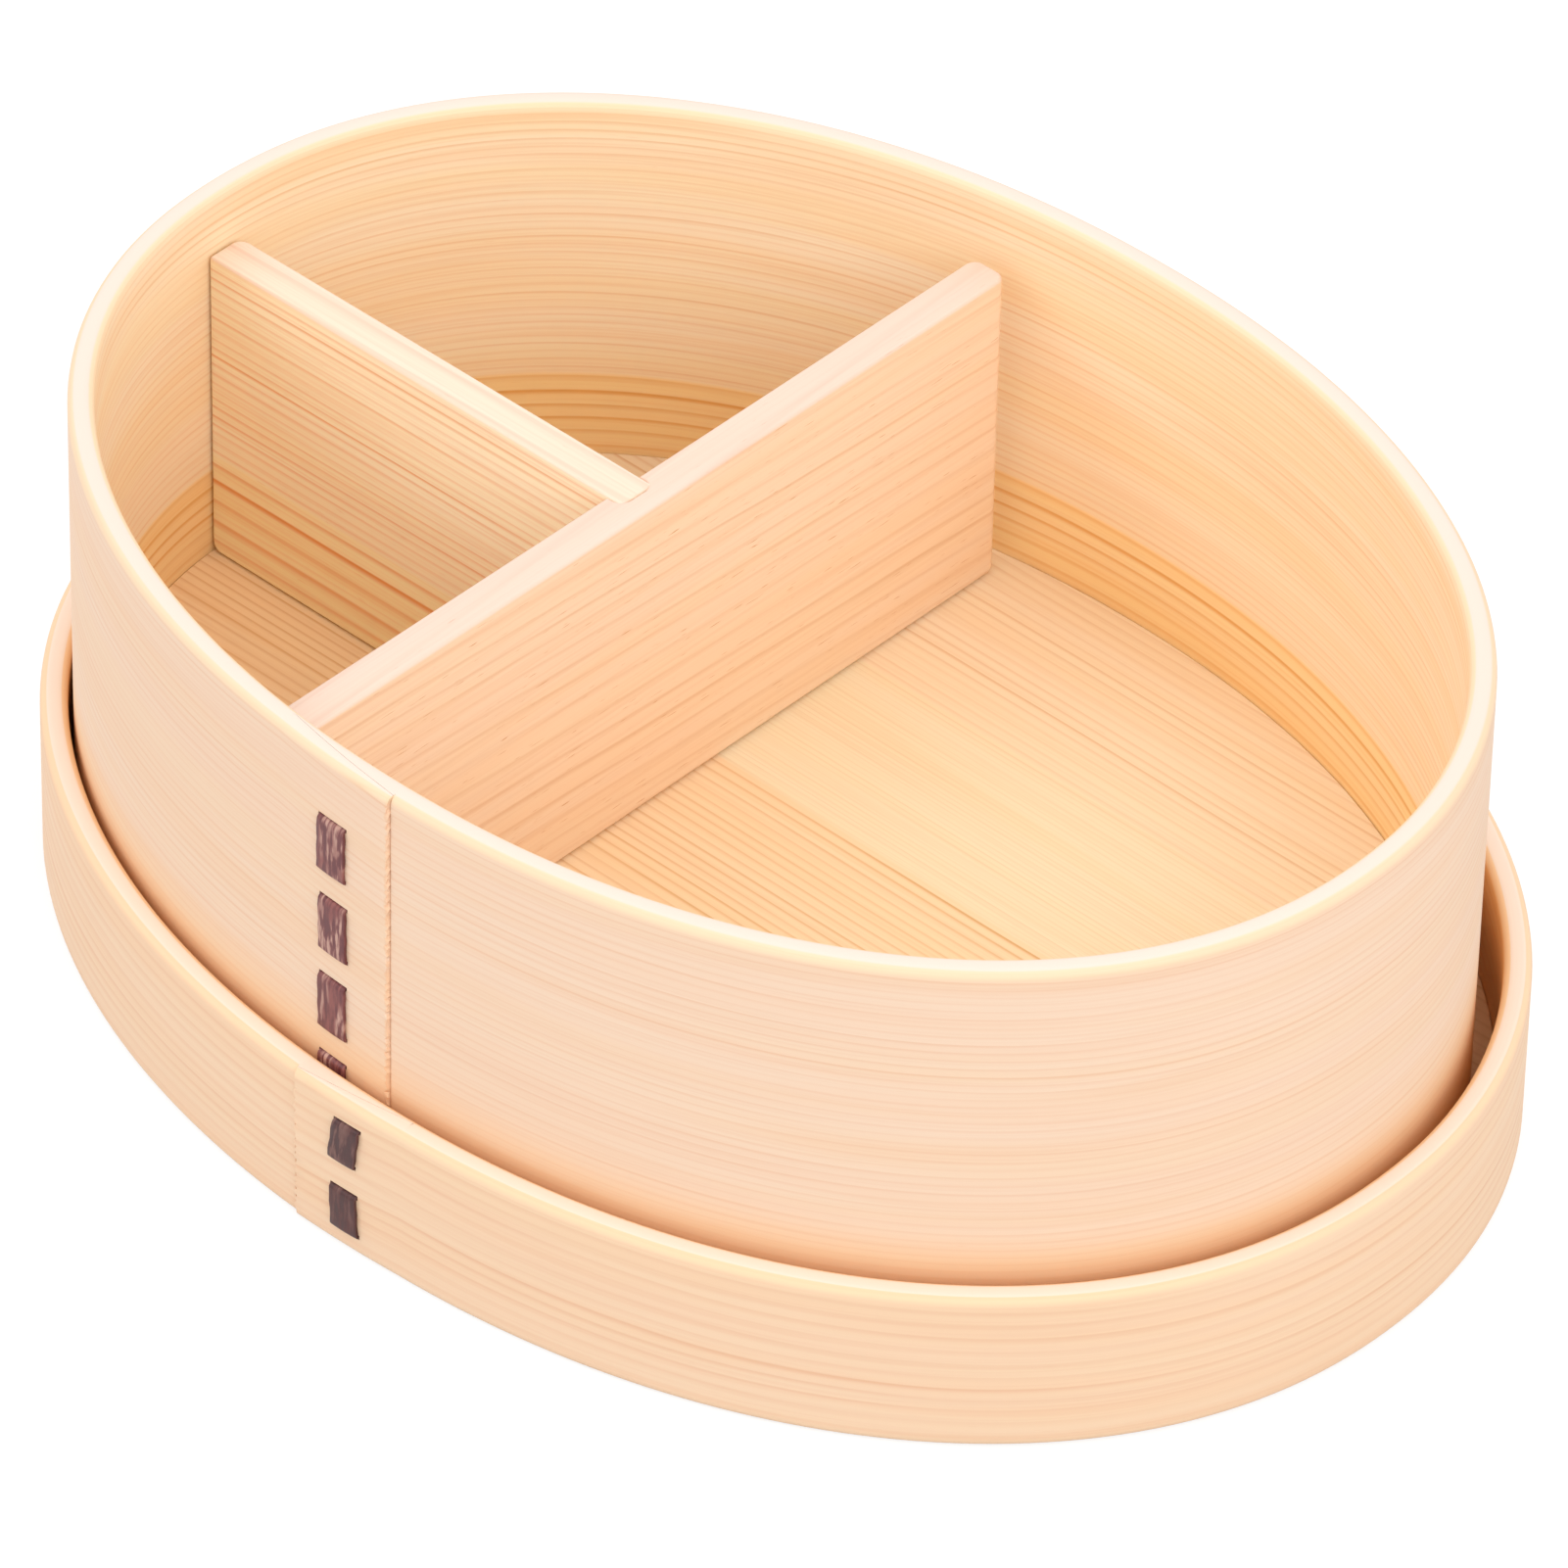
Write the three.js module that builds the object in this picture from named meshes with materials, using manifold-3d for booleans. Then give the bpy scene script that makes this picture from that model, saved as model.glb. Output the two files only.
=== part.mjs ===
// Oval bentwood lunch box: a deep bent body standing in its shallow lid, with a removable T of dividers.
// Millimetres, +Z up, +X along the oval. The origin is the middle of the lid's underside.
// Each hoop is one thin board, bent round until its skived ends lap, and sewn there with a bark ribbon.
import * as THREE from 'three';
import { mergeVertices } from 'three/addons/utils/BufferGeometryUtils.js';
import Module from 'manifold-3d';

const wasm = await Module();
wasm.setup();

// Body: the bent hoop and the board let into its foot.
const bodyLength = 180;
const bodyWidth = 132;
const bodyHeight = 60;
const bodyWall = 3.1;
const bottomThickness = 6;
const bottomRecess = 1.9;

// Lid: a second hoop that slips over the body with room to spare, and its flat panel.
const lidRoomAtEnds = 1.4;
const lidRoomAtSides = 2.2;
const lidWall = 3.3;
const lidHeight = 22;
const panelThickness = 5;

// In the photograph the body stands in the upturned lid, a little to the front left.
const seatShiftX = -0.9;
const seatShiftY = -0.8;

// Dividers: one board across the box and one along it, housed in the first.
const dividerThickness = 5.2;
const dividerHeight = 44;
const acrossFromMiddle = 19.8;
const alongFromMiddle = 1.2;
const housingDepth = 2.2;
const boardFrontGap = 0.5;
const boardBackGap = 2.7;
const boardCornerRound = 1.5;
const housedCornerRound = 0.5;
const boardFootRound = 2;
const boardEdgeEase = 0.4;

// Gaps between pieces that touch, the overrun of every cut, and how close points count as one.
const fitGap = 0.3;
const barkGap = 0.2;
const overrun = 2;
const weldDistance = 0.0001;

// Edges of the bent boards.
const rimRound = 1.2;
const footEase = 0.5;
const plateEdgeEase = 0.5;

// Lap joint: the ends are skived to a thin tip, and the outer end stands a little proud.
const lapTip = 0.8;
const lapStep = 0.4;
const glueLine = 0.2;
const bodySeamFromMiddle = 3.5;
const bodyLap = 17.7;
const lidSeamFromMiddle = 8;
const lidLap = 16.2;

// Bark ribbon: a running stitch down the middle of each lap, in and out of slits through both layers.
const barkThickness = 0.5;
const bodyBarkWidth = 4.3;
const bodyStitchGap = 3.6;
const bodyFirstStitchBelowRim = 8.7;
const bodyLastStitchAboveBoard = 0.6;
const bodyStitchCount = 4;
const lidBarkWidth = 3.9;
const lidStitchGap = 3.85;
const lidFirstStitchBelowRim = 3.1;
const lidLastStitchAboveFoot = 2.65;
const lidStitchCount = 2;

// The oval is a superellipse: an exponent of 2 is an ellipse, and a higher one is squarer.
const ovalExponent = 2.1;
const hoopSteps = 80;
const lapSteps = 5;
const roundSteps = 3;
const plateSteps = 88;

const beechBoard = { color: 0xf6cba6, roughness: 0.62, metalness: 0 };
const hoopWood = { color: 0xf3d8bb, roughness: 0.6, metalness: 0 };
const cedarBoard = { color: 0xeebf8a, roughness: 0.62, metalness: 0 };
const cherryBark = { color: 0x74393f, roughness: 0.55, metalness: 0 };

// A point of an oval at an angle, pushed outwards by offset along the oval's normal.
function ovalPoint(oval, angle, offset) {
  const power = 2 / ovalExponent;
  const x = oval.halfLength * Math.sign(Math.cos(angle)) * Math.abs(Math.cos(angle)) ** power;
  const y = oval.halfWidth * Math.sign(Math.sin(angle)) * Math.abs(Math.sin(angle)) ** power;
  const normal = ovalNormal(oval, x, y);
  return new THREE.Vector2(x + normal.x * offset, y + normal.y * offset);
}

function ovalNormal(oval, x, y) {
  const shareX = Math.abs(x / oval.halfLength) ** (ovalExponent - 1) / oval.halfLength;
  const shareY = Math.abs(y / oval.halfWidth) ** (ovalExponent - 1) / oval.halfWidth;
  return new THREE.Vector2(Math.sign(x) * shareX, Math.sign(y) * shareY).normalize();
}

// How far the oval's edge, pushed by offset, lies from one axis at a distance along the other.
function edgeFromAxis(half, otherHalf, distance, offset) {
  const share = Math.abs(distance) / (half + offset);
  return (otherHalf + offset) * (1 - share ** ovalExponent) ** (1 / ovalExponent);
}

// The angle of the front edge's point at x.
function frontAngle(oval, x) {
  return -Math.acos(Math.sign(x) * Math.abs(x / oval.halfLength) ** (ovalExponent / 2));
}

function lerp(from, to, share) {
  return from + (to - from) * share;
}

// How much a round of the given radius lowers an edge, at a distance in from its side.
function roundDrop(distance, radius) {
  const inward = Math.min(Math.max(distance, 0), radius);
  return radius - Math.sqrt(radius * radius - (radius - inward) ** 2);
}

// The stations of a bent board, from its outer tip, once round, and on beneath its own start.
// Each one holds an angle and how far the board's two faces lie from the oval.
function stripStations(hoop) {
  const start = frontAngle(hoop.oval, hoop.seamX);
  const lapEnd = frontAngle(hoop.oval, hoop.seamX + hoop.way * hoop.lap);
  const lapTurn = Math.abs(lapEnd - start);
  const glueTurn = lapTurn * glueLine / hoop.lap;
  const fullTurn = 2 * Math.PI;
  const scarfTop = lapStep - lapTip;
  const scarfFoot = lapTip - hoop.wall;
  const stations = [];
  const add = (turn, outer, inner, skin) => {
    stations.push({ angle: start + hoop.way * turn, outer, inner, skin });
  };
  for (let i = 0; i <= lapSteps; i += 1) {
    const share = i / lapSteps;
    const skin = lapStep * (1 - share);
    add(share * lapTurn, skin, lerp(scarfTop, scarfFoot + glueLine, share), skin);
  }
  add(lapTurn + glueTurn, 0, scarfFoot + glueLine, 0);
  for (let i = 0; i <= hoopSteps; i += 1) {
    add(lerp(lapTurn + 2 * glueTurn, fullTurn - 2 * glueTurn, i / hoopSteps), 0, -hoop.wall, 0);
  }
  add(fullTurn - glueTurn, scarfTop - glueLine, -hoop.wall, 0);
  for (let i = 0; i <= lapSteps; i += 1) {
    const share = i / lapSteps;
    const scarf = lerp(scarfTop - glueLine, scarfFoot, share);
    add(fullTurn + share * lapTurn, scarf, -hoop.wall, lapStep * (1 - share));
  }
  return stations;
}

// The board's section at a station: a rounded rim over an eased foot, cut to the board's faces there.
function stripSection(hoop, station) {
  const section = [];
  const add = (offset, z) => {
    const point = ovalPoint(hoop.oval, station.angle, offset);
    section.push(new THREE.Vector3(point.x, point.y, z));
  };
  const edgeDistance = (offset) => Math.min(station.skin - offset, offset + hoop.wall);
  const rimShares = edgeShares(rimRound / hoop.wall, roundSteps);
  for (const share of rimShares) {
    const offset = lerp(station.inner, station.outer, share);
    add(offset, hoop.height - roundDrop(edgeDistance(offset), rimRound));
  }
  for (const share of edgeShares(footEase / hoop.wall, 1).reverse()) {
    const offset = lerp(station.inner, station.outer, share);
    add(offset, footEase - Math.min(edgeDistance(offset), footEase));
  }
  return section;
}

// Shares across a wall that follow a round of the given share at each of its two edges.
function edgeShares(roundShare, steps) {
  const shares = [];
  for (let i = 0; i <= steps; i += 1) {
    shares.push(roundShare * (1 - Math.cos((i / steps) * Math.PI / 2)));
  }
  return [...shares, ...shares.map((share) => 1 - share).reverse()];
}

// A closed solid lofted through sections with the same number of points, with a flat cap at each end.
function loft(sections, flipped) {
  const count = sections[0].length;
  const index = [];
  const face = (a, b, c) => index.push(...(flipped ? [a, c, b] : [a, b, c]));
  for (let row = 0; row + 1 < sections.length; row += 1) {
    for (let i = 0; i < count; i += 1) {
      const a = row * count + i;
      const b = row * count + ((i + 1) % count);
      face(a, a + count, b + count);
      face(a, b + count, b);
    }
  }
  const last = (sections.length - 1) * count;
  for (let i = 1; i + 1 < count; i += 1) {
    face(0, i, i + 1);
    face(last, last + i + 1, last + i);
  }
  const geometry = new THREE.BufferGeometry().setFromPoints(sections.flat());
  geometry.setIndex(index);
  return geometry;
}

function solidOf(geometry) {
  const bare = geometry.clone();
  bare.deleteAttribute('normal');
  bare.deleteAttribute('uv');
  const merged = mergeVertices(bare, weldDistance);
  return new wasm.Manifold(new wasm.Mesh({
    numProp: 3,
    vertProperties: new Float32Array(merged.attributes.position.array),
    triVerts: new Uint32Array(merged.index.array),
  }));
}

function geometryOf(solid) {
  const mesh = solid.getMesh();
  const geometry = new THREE.BufferGeometry();
  geometry.setAttribute('position', new THREE.BufferAttribute(mesh.vertProperties, 3));
  geometry.setIndex(new THREE.BufferAttribute(mesh.triVerts, 1));
  geometry.computeVertexNormals();
  return geometry;
}

function cut(geometry, cutters) {
  let solid = solidOf(geometry);
  for (const cutter of cutters) {
    solid = solid.subtract(solidOf(cutter));
  }
  return geometryOf(solid);
}

function piece(name, geometry, finish) {
  const mesh = new THREE.Mesh(geometry, new THREE.MeshStandardMaterial(finish));
  mesh.name = name;
  return mesh;
}

// The stitch's own frame: x outwards through the wall, y up and z along the hoop.
function stitchFrame(hoop) {
  const angle = frontAngle(hoop.oval, hoop.seamX + hoop.way * hoop.lap / 2);
  const foot = ovalPoint(hoop.oval, angle, 0);
  const out = ovalNormal(hoop.oval, foot.x, foot.y);
  const outwards = new THREE.Vector3(out.x, out.y, 0);
  const up = new THREE.Vector3(0, 0, 1);
  const frame = new THREE.Matrix4().makeBasis(outwards, up, outwards.clone().cross(up));
  return frame.setPosition(foot.x, foot.y, 0);
}

// The outer runs of a ribbon, as pairs of heights: each run's top and its foot.
// They share out the height between the first and the last of them.
function stitchRuns(hoop) {
  const first = hoop.height - hoop.firstStitchBelowRim;
  const gaps = (hoop.stitchCount - 1) * hoop.stitchGap;
  const runLength = (first - hoop.lastStitchFoot - gaps) / hoop.stitchCount;
  return Array.from({ length: hoop.stitchCount }, (_, i) => {
    const top = first - i * (runLength + hoop.stitchGap);
    return { top, foot: top - runLength };
  });
}

// Slits through both layers of the lap, one for each leg of the ribbon.
function slits(hoop) {
  const slitHeight = barkThickness + 2 * barkGap;
  const slitWidth = hoop.barkWidth + 2 * barkGap;
  const reach = hoop.wall + lapStep + 2 * overrun;
  const half = barkThickness / 2;
  const legs = stitchRuns(hoop).flatMap((run) => [run.top - half, run.foot + half]);
  return legs.map((z) => {
    const box = new THREE.BoxGeometry(reach, slitHeight, slitWidth);
    return box.translate(-hoop.wall / 2, z, 0).applyMatrix4(stitchFrame(hoop));
  });
}

// One ribbon: out of the first slit, down, back in, down behind the wall, and so on.
// Both ends are trimmed inside the wall, where they don't show.
function barkRibbon(hoop) {
  const half = barkThickness / 2;
  const front = lapStep + barkGap + half;
  const back = -hoop.wall - barkGap - half;
  const trimmed = barkGap - hoop.wall;
  const path = [];
  const runs = stitchRuns(hoop);
  runs.forEach((run, i) => {
    path.push([i === 0 ? trimmed : back, run.top - half]);
    path.push([front, run.top - half]);
    path.push([front, run.foot + half]);
    path.push([i === runs.length - 1 ? trimmed : back, run.foot + half]);
  });
  const outline = ribbonOutline(path.map(([x, y]) => new THREE.Vector2(x, y)), half);
  const depth = hoop.barkWidth;
  const geometry = new THREE.ExtrudeGeometry(new THREE.Shape(outline), { depth, bevelEnabled: false });
  return geometry.translate(0, 0, -depth / 2).applyMatrix4(stitchFrame(hoop));
}

// Both sides of a path with square corners, half a thickness away from it.
function ribbonOutline(path, half) {
  const side = (sign) => path.map((point, i) => {
    const before = direction(path[Math.max(i - 1, 0)], path[Math.max(i, 1)]);
    const after = direction(path[Math.min(i, path.length - 2)], path[Math.min(i + 1, path.length - 1)]);
    const corner = i > 0 && i < path.length - 1;
    const shift = corner ? before.clone().add(after) : before;
    return new THREE.Vector2(point.x - sign * half * shift.y, point.y + sign * half * shift.x);
  });
  return [...side(1), ...side(-1).reverse()];
}

function direction(from, to) {
  return to.clone().sub(from).normalize();
}

function bentHoop(hoop) {
  const sections = stripStations(hoop).map((station) => stripSection(hoop, station));
  return cut(loft(sections, hoop.way > 0), slits(hoop));
}

// A flat oval board that fills a hoop, with its edges eased.
function ovalPlate(hoop, thickness) {
  const outline = [];
  for (let i = 0; i < plateSteps; i += 1) {
    const angle = (i / plateSteps) * 2 * Math.PI;
    outline.push(ovalPoint(hoop.oval, angle, -hoop.wall - fitGap - plateEdgeEase));
  }
  return easedBoard(new THREE.Shape(outline), thickness, plateEdgeEase);
}

// A board cut to a plan shape, standing on z = 0, with an eased edge round its two faces.
// The shape is drawn smaller by the ease, which the extrusion gives back.
function easedBoard(shape, height, ease) {
  const geometry = new THREE.ExtrudeGeometry(shape, {
    depth: height - 2 * ease,
    bevelEnabled: true,
    bevelThickness: ease,
    bevelSize: ease,
    bevelSegments: 1,
    curveSegments: roundSteps,
  });
  return geometry.translate(0, 0, ease);
}

// A rectangle from corner to corner, grown on every side. Its left and right corners are rounded apart.
function roundedPlan(low, high, leftRound, rightRound, grow) {
  const shape = new THREE.Shape();
  const leftReach = leftRound + grow;
  const rightReach = rightRound + grow;
  const left = low.x - grow;
  const right = high.x + grow;
  const front = low.y - grow;
  const back = high.y + grow;
  shape.absarc(right - rightReach, front + rightReach, rightReach, -Math.PI / 2, 0);
  shape.absarc(right - rightReach, back - rightReach, rightReach, 0, Math.PI / 2);
  shape.absarc(left + leftReach, back - leftReach, leftReach, Math.PI / 2, Math.PI);
  shape.absarc(left + leftReach, front + leftReach, leftReach, Math.PI, 1.5 * Math.PI);
  shape.closePath();
  return shape;
}

// What a rounded lower corner takes off a board: end is the middle of its end, inward the way along it.
function footCorner(end, inward) {
  const shape = new THREE.Shape();
  shape.moveTo(-overrun, -overrun);
  shape.lineTo(boardFootRound, -overrun);
  shape.absarc(boardFootRound, boardFootRound, boardFootRound, -Math.PI / 2, -Math.PI, true);
  shape.lineTo(-overrun, boardFootRound);
  shape.closePath();
  const depth = dividerThickness + 2 * overrun;
  const settings = { depth, bevelEnabled: false, curveSegments: roundSteps };
  const up = new THREE.Vector3(0, 0, 1);
  const frame = new THREE.Matrix4().makeBasis(inward, up, inward.clone().cross(up)).setPosition(end);
  return new THREE.ExtrudeGeometry(shape, settings).translate(0, 0, -depth / 2).applyMatrix4(frame);
}

const bodyOval = { halfLength: bodyLength / 2, halfWidth: bodyWidth / 2 };
const lidOval = {
  halfLength: bodyOval.halfLength + lidRoomAtEnds + lidWall,
  halfWidth: bodyOval.halfWidth + lidRoomAtSides + lidWall,
};
const bodyHoop = {
  oval: bodyOval,
  wall: bodyWall,
  height: bodyHeight,
  way: -1,
  seamX: bodySeamFromMiddle,
  lap: bodyLap,
  barkWidth: bodyBarkWidth,
  stitchGap: bodyStitchGap,
  firstStitchBelowRim: bodyFirstStitchBelowRim,
  lastStitchFoot: bottomRecess + bottomThickness + bodyLastStitchAboveBoard,
  stitchCount: bodyStitchCount,
};
const lidHoop = {
  oval: lidOval,
  wall: lidWall,
  height: lidHeight,
  way: 1,
  seamX: -lidSeamFromMiddle,
  lap: lidLap,
  barkWidth: lidBarkWidth,
  stitchGap: lidStitchGap,
  firstStitchBelowRim: lidFirstStitchBelowRim,
  lastStitchFoot: lidLastStitchAboveFoot,
  stitchCount: lidStitchCount,
};

// The across board stands in the body from wall to wall, measured where its outer face meets them.
const acrossOuterX = -acrossFromMiddle - dividerThickness / 2;
const acrossInnerX = -acrossFromMiddle + dividerThickness / 2;
const wallAtAcross = edgeFromAxis(bodyOval.halfLength, bodyOval.halfWidth, acrossOuterX, -bodyWall);
const acrossLow = new THREE.Vector2(acrossOuterX, boardFrontGap - wallAtAcross);
const acrossHigh = new THREE.Vector2(acrossInnerX, wallAtAcross - boardBackGap);

// The along board runs from the end wall into its housing in the across board.
const alongFrontY = -alongFromMiddle - dividerThickness / 2;
const alongBackY = -alongFromMiddle + dividerThickness / 2;
const wallAtAlong = edgeFromAxis(bodyOval.halfWidth, bodyOval.halfLength, alongFrontY, -bodyWall);
const alongLow = new THREE.Vector2(fitGap - wallAtAlong, alongFrontY);
const alongHigh = new THREE.Vector2(acrossOuterX + housingDepth, alongBackY);

function acrossBoard() {
  const plan = roundedPlan(acrossLow, acrossHigh, boardCornerRound, boardCornerRound, -boardEdgeEase);
  const front = new THREE.Vector3(-acrossFromMiddle, acrossLow.y, 0);
  const back = new THREE.Vector3(-acrossFromMiddle, acrossHigh.y, 0);
  const backwards = new THREE.Vector3(0, 1, 0);
  const slot = roundedPlan(alongLow, alongHigh, boardCornerRound, housedCornerRound, fitGap);
  const housing = new THREE.ExtrudeGeometry(slot, {
    depth: dividerHeight + 2 * overrun,
    bevelEnabled: false,
    curveSegments: roundSteps,
  });
  housing.translate(0, 0, -overrun);
  const cutters = [housing, footCorner(front, backwards), footCorner(back, backwards.clone().negate())];
  return cut(easedBoard(plan, dividerHeight, boardEdgeEase), cutters);
}

function alongBoard() {
  const plan = roundedPlan(alongLow, alongHigh, boardCornerRound, housedCornerRound, -boardEdgeEase);
  const outer = new THREE.Vector3(alongLow.x, -alongFromMiddle, 0);
  const corner = footCorner(outer, new THREE.Vector3(1, 0, 0));
  return cut(easedBoard(plan, dividerHeight, boardEdgeEase), [corner]);
}

const lid = new THREE.Group();
lid.add(piece('lid_hoop', bentHoop(lidHoop), hoopWood));
lid.add(piece('lid_panel', ovalPlate(lidHoop, panelThickness), cedarBoard));
lid.add(piece('lid_bark_stitch', barkRibbon(lidHoop), cherryBark));

const dividers = new THREE.Group();
dividers.add(piece('divider_long', acrossBoard(), beechBoard));
dividers.add(piece('divider_short', alongBoard(), cedarBoard));
dividers.position.z = bottomRecess + bottomThickness + fitGap;

const bottom = piece('body_bottom', ovalPlate(bodyHoop, bottomThickness), cedarBoard);
bottom.position.z = bottomRecess;

const body = new THREE.Group();
body.add(piece('body_hoop', bentHoop(bodyHoop), hoopWood));
body.add(bottom);
body.add(piece('body_bark_stitch', barkRibbon(bodyHoop), cherryBark));
body.add(dividers);
body.position.set(seatShiftX, seatShiftY, panelThickness + fitGap);

const box = new THREE.Group();
box.add(lid);
box.add(body);

export default box;
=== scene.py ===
# %% [markdown]
# # An oval bentwood lunch box
# The box is two hoops, two oval boards and two dividers, all of thin bare wood. Each hoop is one
# straight board that was steamed, bent round an oval and sewn at its lap with a ribbon of bark.
# The construction comes in ready-made, at its real size. This script gives each piece a fine
# surface that stays exactly where the construction is, and then its wood, its light and a camera.

# %% The construction
import math

import bmesh
import bpy
import numpy as np
from mathutils import Matrix, Vector


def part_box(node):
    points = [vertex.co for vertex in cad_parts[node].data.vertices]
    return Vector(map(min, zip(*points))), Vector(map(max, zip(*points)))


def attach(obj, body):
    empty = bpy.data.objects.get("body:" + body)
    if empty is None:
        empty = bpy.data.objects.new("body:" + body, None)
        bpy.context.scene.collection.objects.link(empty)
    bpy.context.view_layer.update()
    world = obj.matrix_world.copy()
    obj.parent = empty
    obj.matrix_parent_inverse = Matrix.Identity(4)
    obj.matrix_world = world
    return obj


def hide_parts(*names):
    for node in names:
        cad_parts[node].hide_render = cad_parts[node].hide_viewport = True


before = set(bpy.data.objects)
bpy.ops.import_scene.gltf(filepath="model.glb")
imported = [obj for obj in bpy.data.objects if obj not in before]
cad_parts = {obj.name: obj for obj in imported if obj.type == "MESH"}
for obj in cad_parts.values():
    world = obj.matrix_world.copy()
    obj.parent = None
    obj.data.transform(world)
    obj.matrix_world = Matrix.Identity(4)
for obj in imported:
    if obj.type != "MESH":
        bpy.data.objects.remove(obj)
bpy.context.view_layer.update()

MM = 0.001
print("pieces in the construction:", sorted(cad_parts))

# %% [markdown]
# ## The hoops' oval
# The plan of each hoop is a superellipse, which is an ellipse made a little squarer by its
# exponent. The flat boards inside the hoops are symmetric, so their boxes in the construction
# give each oval's middle and size. The wall thickness and the laps are the maker's own sizes.

# %% An oval to bend a board round
OVAL_EXPONENT = 2.1
PLATE_GAP = 0.3 * MM
TABLE_STEPS = 4000


class Hoop:
    """One bent board: its oval, its wall, and where its ends lap at the front.

    The board's outer end shows as a seam at seam_x. From there the board runs to the left or to
    the right, as way is -1 or 1, and once round it ends inside itself, lap_x beyond the seam.
    """

    def __init__(self, name, plate, wall, seam_x, lap_x, way, foot_round):
        low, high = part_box(plate)
        self.foot, self.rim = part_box(name)[0].z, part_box(name)[1].z
        self.centre = (low + high) / 2
        self.wall, self.way, self.foot_round = wall, way, foot_round
        self.height = self.rim - self.foot
        self.half_length = (high.x - low.x) / 2 + PLATE_GAP + wall
        self.half_width = (high.y - low.y) / 2 + PLATE_GAP + wall
        self.start = self.front_angle(seam_x)
        self.lap_turn = abs(self.front_angle(seam_x + way * lap_x) - self.start)
        self.turns = np.linspace(0, 2 * math.pi + self.lap_turn, TABLE_STEPS)
        line = np.array([self.point(self.start + way * turn, -wall / 2) for turn in self.turns])
        steps = np.hypot(*np.diff(line, axis=0).T)
        self.lengths = np.concatenate([[0], np.cumsum(steps)])
        self.lap = float(np.interp(self.lap_turn, self.turns, self.lengths))
        self.board_length = float(self.lengths[-1])
        self.once_round = float(np.interp(2 * math.pi, self.turns, self.lengths))

    def front_angle(self, x):
        share = math.copysign(abs(x / self.half_length) ** (OVAL_EXPONENT / 2), x)
        return -math.acos(share)

    def point(self, angle, offset):
        """A point of the oval in plan, pushed outwards by offset."""
        power = 2 / OVAL_EXPONENT
        cos, sin = math.cos(angle), math.sin(angle)
        x = math.copysign(self.half_length * abs(cos) ** power, cos)
        y = math.copysign(self.half_width * abs(sin) ** power, sin)
        across = math.copysign(abs(x / self.half_length) ** (OVAL_EXPONENT - 1) / self.half_length, x)
        along = math.copysign(abs(y / self.half_width) ** (OVAL_EXPONENT - 1) / self.half_width, y)
        size = math.hypot(across, along)
        return x + offset * across / size, y + offset * along / size

    def bend(self, along, offset, height):
        """Where a point of the flat board lands once the board is bent round."""
        turn = float(np.interp(along, self.lengths, self.turns))
        x, y = self.point(self.start + self.way * turn, offset)
        return Vector((self.centre.x + x, self.centre.y + y, self.foot + height))


body_hoop = Hoop(
    "body_hoop", "body_bottom", wall=3.1 * MM, seam_x=3.5 * MM, lap_x=17.7 * MM, way=-1,
    foot_round=0.6 * MM,
)
lid_hoop = Hoop(
    "lid_hoop", "lid_panel", wall=3.3 * MM, seam_x=-8.0 * MM, lap_x=16.2 * MM, way=1,
    foot_round=1.0 * MM,
)
for hoop in (body_hoop, lid_hoop):
    print("a board", round(hoop.board_length / MM), "mm long, lapped by", round(hoop.lap / MM, 1), "mm")

# %% [markdown]
# ## How the board's ends are skived
# Both ends are pared down to thin tips, so the lap is hardly thicker than the wall, and a thin
# line of glue lies between them. The outer tip stays a little proud, which is the fine vertical
# line beside the stitches. Rounding comes after gluing on a real hoop, so the rim's round is
# worked out over the whole wall and not over each layer: a layer's top is as high as the
# finished rim is at that depth.

# %% The two faces of the board at any point along it
LAP_STEP = 0.4 * MM
LAP_TIP = 0.8 * MM
GLUE_LINE = 0.05 * MM
SHOULDER = 0.05 * MM
RIM_ROUND = 1.2 * MM


def lerp(a, b, share):
    return a + (b - a) * share


def board_faces(hoop, along):
    """The inner and the outer face's offset from the oval, and the finished wall's outer skin."""
    scarf_top, scarf_foot = LAP_STEP - LAP_TIP, LAP_TIP - hoop.wall
    if along <= hoop.lap + SHOULDER:
        share = min(along / hoop.lap, 1)
        skin = LAP_STEP * (1 - share)
        return lerp(scarf_top, scarf_foot + GLUE_LINE, share), skin, skin
    if along >= hoop.once_round - SHOULDER:
        share = min(max((along - hoop.once_round) / hoop.lap, 0), 1)
        return -hoop.wall, lerp(scarf_top - GLUE_LINE, scarf_foot, share), LAP_STEP * (1 - share)
    return -hoop.wall, 0.0, 0.0


def round_drop(distance, radius):
    inward = min(max(distance, 0), radius)
    return radius - math.sqrt(radius**2 - (radius - inward) ** 2)


def height_at(hoop, offset, skin, share):
    """The height of a point at this depth in the wall, from the eased foot to the rounded rim."""
    distance = min(skin - offset, offset + hoop.wall)
    foot = round_drop(distance, hoop.foot_round)
    rim = hoop.height - round_drop(distance, RIM_ROUND)
    return lerp(foot, rim, share)


tip_thickness = board_faces(body_hoop, 0)[1] - board_faces(body_hoop, 0)[0]
print("the body's board is", round(tip_thickness / MM, 2), "mm thick at its outer tip")

# %% [markdown]
# ## The stitches
# The ribbon runs down the middle of the lap: out through a slit, down the face, back in, down
# behind the wall and out again. The construction's ribbon gives the first slit and the last,
# and the runs between share out the height. A hand-cut ribbon leans a little from run to run.

# %% Where each run of the ribbon lies
BODY_RIBBON, LID_RIBBON = 4.3 * MM, 3.9 * MM
BODY_STITCH_GAP, LID_STITCH_GAP = 3.6 * MM, 3.85 * MM
BODY_LEANS = [(0.0, -0.1 * MM), (0.1 * MM, 0.15 * MM), (-0.05 * MM, 0.0), (-0.1 * MM, 0.0)]
LID_LEANS = [(0.45 * MM, -0.35 * MM), (-0.1 * MM, 0.15 * MM)]


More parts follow.
